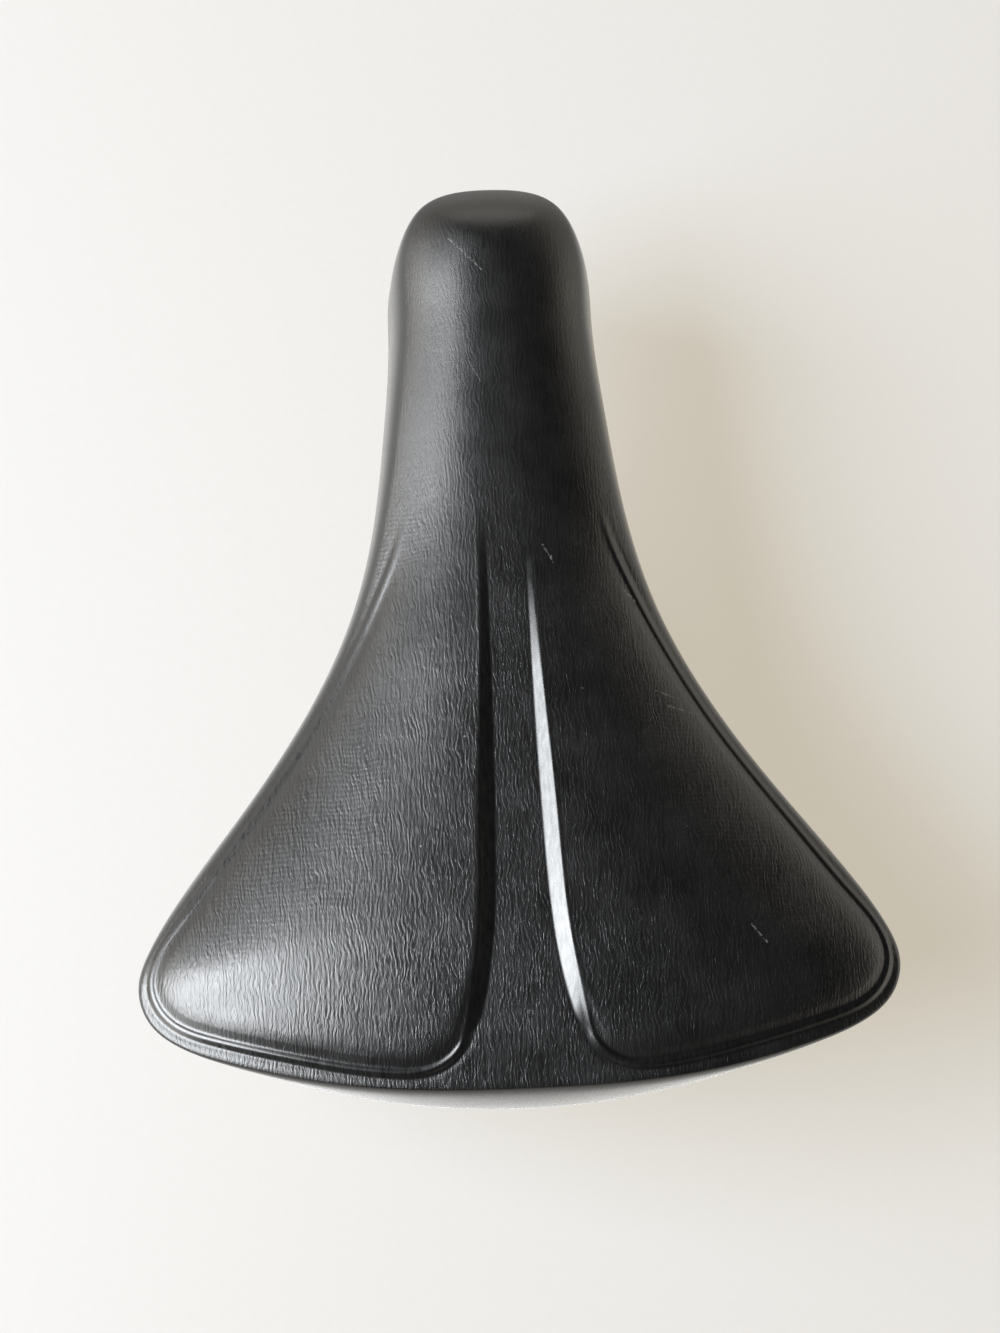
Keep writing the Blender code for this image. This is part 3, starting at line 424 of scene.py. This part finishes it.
# ---- Materials ----
class Nodes:
    """Short calls that add and link the nodes of one material."""

    def __init__(self, name, **inputs):
        self.material = bpy.data.materials.new(name)
        self.material.use_nodes = True
        self.tree = self.material.node_tree
        self.shader = self.tree.nodes["Principled BSDF"]
        for key, value in inputs.items():
            self.shader.inputs[key.replace("_", " ")].default_value = value

    def add(self, kind, settings=None, **inputs):
        node = self.tree.nodes.new(kind)
        for key, value in (settings or {}).items():
            setattr(node, key, value)
        for key, value in inputs.items():
            self.give(node.inputs[key.replace("_", " ")], value)
        return node

    def give(self, socket, value):
        if isinstance(value, bpy.types.NodeSocket):
            self.tree.links.new(value, socket)
        else:
            socket.default_value = value

    def math(self, operation, *values, clamp=False):
        node = self.add("ShaderNodeMath", {"operation": operation, "use_clamp": clamp})
        for socket, value in zip(node.inputs, values, strict=False):
            self.give(socket, value)
        return node.outputs[0]

    def vector(self, operation, *values, out=0):
        node = self.add("ShaderNodeVectorMath", {"operation": operation})
        for socket, value in zip(node.inputs, values, strict=False):
            self.give(socket, value)
        return node.outputs[out]

    def range(self, value, low, high, to_low=0.0, to_high=1.0, smooth=False):
        kind = "SMOOTHSTEP" if smooth else "LINEAR"
        node = self.add("ShaderNodeMapRange", {"interpolation_type": kind}, Value=value)
        numbers = {"From Min": low, "From Max": high, "To Min": to_low, "To Max": to_high}
        for key, number in numbers.items():
            node.inputs[key].default_value = number
        return node.outputs[0]

    def blend(self, share, first, second):
        node = self.add("ShaderNodeMix", {"data_type": "RGBA"})
        self.give(node.inputs[0], share)
        self.give(node.inputs[6], first)
        self.give(node.inputs[7], second)
        return node.outputs[2]

    def noise(self, vector, scale, detail=2.0, roughness=0.5, distortion=0.0):
        node = self.add("ShaderNodeTexNoise", Vector=vector, Scale=scale, Detail=detail)
        node.inputs["Roughness"].default_value = roughness
        node.inputs["Distortion"].default_value = distortion
        return node.outputs["Fac"]

    def bump(self, height, depth):
        return self.add("ShaderNodeBump", Height=height, Distance=depth, Strength=1.0).outputs[0]

    def out(self, **sockets):
        for key, value in sockets.items():
            self.give(self.shader.inputs[key.replace("_", " ")], value)
        return self.material


def colour(value, tint=(1, 1, 1)):
    return (value * tint[0], value * tint[1], value * tint[2], 1)


# The skin's grain. A size is how wide and how long a mark is; a wander is how far lines stray.
WRINKLE_PITCH, WRINKLE_SIZE = 1.3 * MM, (1.8 * MM, 8.5 * MM)
CREASE_SIZE, CREASE_WANDER = (0.8 * MM, 4.2 * MM), (2.2 * MM, 2.6 * MM)
WEAVE_PITCH, WEAVE_WANDER, GRAIN_DEPTH = 1.35 * MM, 2.6 * MM, 0.075 * MM
SCRATCH_WANDER = 0.8 * MM


def times_in(size):
    """A texture's scale in plan, so that one mark has this width and length."""
    return 1 / size[0], 1 / size[1], 0


def skin_material():
    """Black moulded skin with a wrinkled grain that runs lengthways, and smooth strips."""
    n = Nodes("black_moulded_skin", Coat_IOR=1.6, Coat_Roughness=0.22, Sheen_Roughness=0.18)
    at = n.add("ShaderNodeAttribute", {"attribute_name": "unfolded"}).outputs["Vector"]
    smooth = n.add("ShaderNodeAttribute", {"attribute_name": "smooth"}).outputs["Fac"]
    skirt = n.add("ShaderNodeAttribute", {"attribute_name": "skirt"}).outputs["Fac"]
    grained = n.math("SUBTRACT", 1.0, smooth, clamp=True)
    place = n.add("ShaderNodeSeparateXYZ", Vector=at)
    x, y = place.outputs[0], place.outputs[1]
    # Long wrinkles: wavy lines that run lengthways and break up.
    wander = n.noise(n.vector("MULTIPLY", at, (120, 70, 0)), 1.0, detail=2.0)
    shiver = n.noise(n.vector("MULTIPLY", at, (420, 240, 0)), 1.0, detail=2.0)
    turns = n.math("ADD", n.math("MULTIPLY", x, 1 / WRINKLE_PITCH), n.math("MULTIPLY", wander, 5.0))
    turns = n.math("ADD", turns, n.math("MULTIPLY", shiver, 1.5))
    wave = n.math("ABSOLUTE", n.math("SINE", n.math("MULTIPLY", turns, math.pi)))
    breaks = n.noise(n.vector("MULTIPLY", at, times_in(WRINKLE_SIZE)), 1.0, detail=1.0)
    wave = n.math("MULTIPLY", wave, n.range(breaks, 0.34, 0.62, 0.3, 1.0))
    # Shorter creases between them.
    drift = n.add("ShaderNodeTexNoise", Vector=at, Scale=160.0, Detail=2.0).outputs["Color"]
    pull = n.vector("MULTIPLY", drift, (*CREASE_WANDER, 0))
    bent = n.vector("ADD", at, pull)
    streaks = n.noise(n.vector("MULTIPLY", bent, times_in(CREASE_SIZE)), 1.0, detail=2.0)
    crease = n.range(n.math("ABSOLUTE", n.math("SUBTRACT", streaks, 0.5)), 0.0, 0.10)
    # A cross-hatch in patches, strongest towards the outer edges and on the nose.
    weave = n.math("ADD", y, n.math("MULTIPLY", wander, WEAVE_WANDER))
    weave = n.math("MULTIPLY", weave, math.pi / WEAVE_PITCH)
    weave = n.math("ABSOLUTE", n.math("SINE", weave))
    uneven = n.math("MULTIPLY", n.noise(at, 30.0, detail=2.0), 1.2)
    spread = n.math("ADD", n.math("MULTIPLY", n.math("ABSOLUTE", x), 9.0), uneven)
    patches = n.range(spread, 0.75, 1.15, 0.0, 1.0, smooth=True)
    patches = n.math("MULTIPLY", patches, n.range(y, -0.112, -0.075))
    fine = n.noise(at, 2400.0, detail=2.0)
    height = n.math("ADD", n.math("MULTIPLY", wave, 0.55), n.math("MULTIPLY", crease, 0.32))
    height = n.math("ADD", height, n.math("MULTIPLY", n.math("MULTIPLY", weave, patches), 0.18))
    height = n.math("ADD", height, n.math("MULTIPLY", fine, 0.16))
    height = n.math("MULTIPLY", height, grained)
    height = n.math("MULTIPLY", height, n.range(y, 0.0, 0.045, 1.0, 0.45))
    height = n.math("MULTIPLY", height, n.range(skirt, 0, 1, 1.0, 0.35))
    normal = n.bump(height, GRAIN_DEPTH)
    blotch = n.noise(at, 55.0, detail=3.0, roughness=0.6)
    rough = n.math("ADD", n.range(blotch, 0.3, 0.7, 0.34, 0.42), n.math("MULTIPLY", wave, -0.05))
    strip_rough = n.range(streaks, 0.3, 0.7, 0.24, 0.35)
    rough = n.math("ADD", n.math("MULTIPLY", rough, grained), n.math("MULTIPLY", smooth, strip_rough))
    rough = n.math("SUBTRACT", rough, n.math("MULTIPLY", skirt, 0.08))
    level = n.range(skirt, 0.0, 1.0, 0.82, 0.5)
    dark = n.blend(n.range(blotch, 0.3, 0.7), colour(0.0018), colour(0.0035, (1, 1, 1.08)))
    marks = scuffs(n, at)
    shade = n.blend(marks, dark, colour(0.26, (1, 0.99, 0.97)))
    coat, fuzz = n.math("MULTIPLY", skirt, 0.45), n.math("MULTIPLY", skirt, 0.3)
    return n.out(Base_Color=shade, Roughness=rough, Normal=normal, Coat_Weight=coat,
                 Specular_IOR_Level=level, Sheen_Weight=fuzz)


def scuffs(n, at):
    """Thin scratches and specks of dust, from 0 to 1."""
    specks = n.add("ShaderNodeTexVoronoi", {"feature": "F1"}, Vector=at, Scale=150.0)
    near = n.range(specks.outputs["Distance"], 0.02, 0.055, 1.0, 0.0)
    chosen = n.add("ShaderNodeSeparateColor", Color=specks.outputs["Color"]).outputs[0]
    total = n.math("MULTIPLY", near, n.range(chosen, 0.90, 0.93, 0.0, 0.7))
    for start, end, width, strength in SCRATCHES:
        total = n.math("MAXIMUM", total, scratch(n, at, start, end, width, strength))
    return total


# Scratches in plan, in millimetres: start, end, half width, strength.
SCRATCHES = (
    ((-12.5, 104), (-3.0, 93), 0.11, 0.28),
    ((-8.0, 66), (-5.0, 60), 0.10, 0.25),
    ((10.5, 11), (13.5, 5.5), 0.14, 0.4),
    ((33, -1), (36.5, -4.5), 0.14, 0.45),
    ((40.5, -31.5), (47, -33.5), 0.14, 0.35),
    ((44, -36), (53, -38), 0.12, 0.28),
    ((-30, -101), (-22, -106), 0.11, 0.25),
    ((62, -98), (66, -103), 0.12, 0.35),
)


def scratch(n, at, start, end, width, strength):
    start, end = Vector((*start, 0)) * MM, Vector((*end, 0)) * MM
    along = end - start
    flat = n.vector("MULTIPLY", at, (1, 1, 0))
    off = n.vector("SUBTRACT", flat, start)
    share = n.math("DIVIDE", n.vector("DOT_PRODUCT", off, along, out=1), along.length_squared, clamp=True)
    onto = n.add("ShaderNodeVectorMath", {"operation": "SCALE"})
    onto.inputs[0].default_value = along
    n.give(onto.inputs["Scale"], share)
    wave = n.math("SUBTRACT", n.noise(at, 260.0, detail=1.0), 0.5)
    wave = n.math("MULTIPLY", wave, SCRATCH_WANDER)
    gap = n.vector("LENGTH", n.vector("SUBTRACT", off, onto.outputs[0]), out=1)
    line = n.range(n.math("ABSOLUTE", n.math("ADD", gap, wave)), width * MM, width * 2.6 * MM, 1.0, 0.0)
    broken = n.range(n.noise(at, 900.0, detail=2.0), 0.42, 0.60, 0.0, strength)
    return n.math("MULTIPLY", line, broken)


def surface_points(n):
    return n.add("ShaderNodeTexCoord").outputs["Object"]


def foam_material():
    """Moulded polyurethane foam: open cells under a thin, slightly yellowed skin."""
    n = Nodes("seat_foam", Roughness=0.95, Sheen_Weight=0.3, Sheen_Roughness=0.6)
    at = surface_points(n)
    cells = n.noise(at, 1400.0, detail=2.0)
    blotch = n.noise(at, 45.0, detail=3.0)
    shade = n.blend(n.range(blotch, 0.35, 0.65), (0.42, 0.37, 0.24, 1), (0.55, 0.50, 0.36, 1))
    return n.out(Base_Color=shade, Normal=n.bump(cells, 0.3 * MM))


def plastic_material(name, base):
    """Black polypropylene: a fine spark-eroded grain, with rubbed and dusty places."""
    n = Nodes(name, Specular_IOR_Level=0.5)
    at = surface_points(n)
    grain = n.noise(at, 2600.0, detail=3.0, roughness=0.7)
    flow = n.noise(at, 30.0, detail=4.0, distortion=1.5)
    dust = n.range(n.noise(at, 140.0, detail=6.0, roughness=0.7), 0.52, 0.78, 0.0, 0.55)
    shade = n.blend(dust, n.blend(flow, colour(base), colour(base * 1.6)), colour(0.075, (1, 0.95, 0.86)))
    rough = n.range(flow, 0.3, 0.7, 0.42, 0.60)
    return n.out(Base_Color=shade, Roughness=rough, Normal=n.bump(grain, 0.08 * MM))


CUPS_Y, WORN_REACH = -28 * MM, (18 * MM, 45 * MM)  # where the cups hold the rails, and how far they rub


def rail_material():
    """Black powder coat: slight orange peel, and rub marks along the wire where the cups hold it."""
    n = Nodes("rail_powder_coat", Specular_IOR_Level=0.6, Coat_Weight=0.25, Coat_Roughness=0.12)
    at = surface_points(n)
    peel = n.noise(at, 650.0, detail=2.0)
    streaks = n.noise(n.vector("MULTIPLY", at, (500.0, 35.0, 500.0)), 1.0, detail=4.0)
    along = n.add("ShaderNodeSeparateXYZ", Vector=at).outputs["Y"]
    from_cups = n.math("ABSOLUTE", n.math("SUBTRACT", along, CUPS_Y))
    worn = n.math("MULTIPLY", n.range(from_cups, *WORN_REACH, 1.0, 0.0), n.range(streaks, 0.48, 0.62))
    shade = n.blend(worn, colour(0.012), colour(0.30, (1, 0.98, 0.95)))
    rough = n.range(worn, 0.0, 1.0, 0.32, 0.42)
    return n.out(Base_Color=shade, Metallic=n.math("MULTIPLY", worn, 0.8), Roughness=rough,
                 Normal=n.bump(peel, 0.06 * MM))


def steel_material(name, base, rough, tint=(1, 1, 1), stain=0.35):
    """Plated steel: brushed streaks, cloudy plating, and a little brown stain in patches."""
    n = Nodes(name, Metallic=0.9)
    at = surface_points(n)
    brushed = n.noise(n.vector("MULTIPLY", at, (1200.0, 160.0, 160.0)), 1.0, detail=3.0)
    cloud = n.noise(at, 170.0, detail=4.0)
    rust = n.range(n.noise(at, 260.0, detail=6.0, roughness=0.75), 0.58, 0.74, 0.0, stain)
    plating = n.blend(n.range(cloud, 0.3, 0.7), colour(base * 0.75, tint), colour(base * 1.1, tint))
    shade = n.blend(rust, plating, (0.11, 0.055, 0.025, 1))
    worn = n.math("ADD", n.range(cloud, 0.3, 0.7, rough * 0.75, rough * 1.3), n.math("MULTIPLY", rust, 0.5))
    return n.out(Base_Color=shade, Roughness=worn, Normal=n.bump(brushed, 0.02 * MM))


# ---- Stage, lights and camera ----
LIT_POINT = Vector((0, -0.02, 0.08))
FLOOR_RADIUS, SWEEP_OUT, SWEEP_UP, FLOOR_GAP = 4.5, 1.5, 2.0, 0.0002


def make_floor():
    """A pale table top that sweeps up into a low backdrop all round, far beyond the lights."""
    low, around = CAD_BOX[0][2] - FLOOR_GAP, 96
    angle = np.arange(around) * 2 * math.pi / around
    circle = np.column_stack([np.cos(angle), np.sin(angle)])
    sweep = np.radians(np.arange(0, 91, 15))
    points = [np.array([[0, 0, low]])]
    for turn in sweep:
        radius, height = FLOOR_RADIUS + SWEEP_OUT * np.sin(turn), SWEEP_UP * (1 - np.cos(turn))
        points.append(np.column_stack([circle * radius, np.full(around, low + height)]))
    faces = [(0, 1 + i, 1 + (i + 1) % around) for i in range(around)]
    for ring in range(len(sweep) - 1):
        faces += rings_between(1 + ring * around, 1 + (ring + 1) * around, around)
    n = Nodes("pale_table", Roughness=0.6, Emission_Color=(1.0, 0.90, 0.72, 1), Emission_Strength=0.55)
    at = surface_points(n)
    paper = n.noise(at, 400.0, detail=2.0)
    shade = n.blend(paper, (0.155, 0.175, 0.21, 1), (0.17, 0.19, 0.23, 1))
    material = n.out(Base_Color=shade, Normal=n.bump(paper, 0.04 * MM))
    new_object("floor", np.vstack(points), faces, material)


def area_light(name, width, height, distance, azimuth, elevation, energy, tint=(1, 1, 1)):
    """A rectangular light that faces the saddle, from an azimuth (0 is +X, 90 is the nose)."""
    data = bpy.data.lights.new(name, "AREA")
    data.shape = "RECTANGLE"
    data.size, data.size_y = width, height
    data.energy = energy
    data.color = tint
    lamp = bpy.data.objects.new(name, data)
    bpy.context.scene.collection.objects.link(lamp)
    a, e = math.radians(azimuth), math.radians(elevation)
    away = Vector((math.cos(e) * math.cos(a), math.cos(e) * math.sin(a), math.sin(e)))
    lamp.location = LIT_POINT + away * distance
    lamp.rotation_euler = away.to_track_quat("Z", "Y").to_euler()


def make_light():
    world = bpy.data.worlds.new("soft_room")
    bpy.context.scene.world = world
    world.use_nodes = True
    world.node_tree.nodes["Background"].inputs["Color"].default_value = (0.95, 0.97, 1.0, 1)
    world.node_tree.nodes["Background"].inputs["Strength"].default_value = 0.025
    # Width, height and distance in metres, azimuth and elevation in degrees, then watts.
    area_light("window", 1.35, 1.3, 1.9, 181, 42, 100, (0.94, 0.97, 1.0))
    area_light("front_fill", 2.4, 0.8, 2.2, 86, 22, 8, (1.0, 0.95, 0.88))
    area_light("left_low", 3.0, 0.7, 2.2, 180, 16, 26, (1.0, 0.98, 0.95))
    area_light("right_low", 2.4, 0.4, 2.2, 0, 4, 3.5, (1.0, 0.93, 0.84))


def make_camera():
    distance, elevation, lean, roll = 0.60, math.radians(80), math.radians(2.4), math.radians(2.0)
    pixel_size, frame_px, sensor_mm = 0.00028, 1333, 36  # what a pixel covers at the saddle, in metres
    target = Vector((-0.0028, -0.023, 0.09))
    up = Vector((0, math.sin(elevation), math.cos(elevation)))
    ahead = Vector((0, math.cos(elevation), -math.sin(elevation)))
    look = ahead * math.cos(lean) + Vector((1, 0, 0)) * math.sin(lean)
    right = Vector((1, 0, 0)) * math.cos(lean) - ahead * math.sin(lean)
    x_axis = right * math.cos(roll) - up * math.sin(roll)
    y_axis = up * math.cos(roll) + right * math.sin(roll)
    data = bpy.data.cameras.new("camera")
    data.sensor_width = sensor_mm
    data.lens = distance / pixel_size * sensor_mm / frame_px
    data.clip_start = 0.01
    camera = bpy.data.objects.new("camera", data)
    bpy.context.scene.collection.objects.link(camera)
    turn = Matrix((x_axis, y_axis, -look)).transposed().to_4x4()
    camera.matrix_world = Matrix.Translation(target - look * distance) @ turn
    bpy.context.scene.camera = camera
    bpy.context.scene.view_settings.view_transform = "Standard"


def dress_cad():
    """Gives each CAD node that shows its material, by what the real piece is made of."""
    base, bridge = plastic_material("base_plastic", 0.010), plastic_material("bridge_plastic", 0.016)
    zinc = steel_material("zinc_plate", 0.55, 0.30, (1, 0.98, 0.92))
    black = steel_material("black_oxide", 0.05, 0.40, stain=0.25)
    kinds = {"base_shell": base, "rear_bridge": bridge, "nose_keeper": bridge, "rail_frame": rail_material()}
    for name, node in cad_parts.items():
        fastener = "screw" in name or "washer" in name or name in ("clamp_bolt", "clamp_nut")
        node.data.materials.clear()
        node.data.materials.append(kinds.get(name, zinc if fastener else black))


def make_foam():
    """The CAD's foam under the skin, shaded smooth and in its own material."""
    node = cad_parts["foam_pad"]
    foam = node.copy()
    foam.data = node.data.copy()
    foam.parent = None
    foam.matrix_world = node.matrix_world.copy()
    foam.name = "foam_cushion"
    bpy.context.scene.collection.objects.link(foam)
    foam.data.materials.clear()
    foam.data.materials.append(foam_material())
    for polygon in foam.data.polygons:
        polygon.use_smooth = True
    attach(foam, "saddle")
    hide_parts("foam_pad")


def main():
    make_camera()
    make_light()
    make_floor()
    dress_cad()
    make_foam()
    make_cover(skin_material())


main()
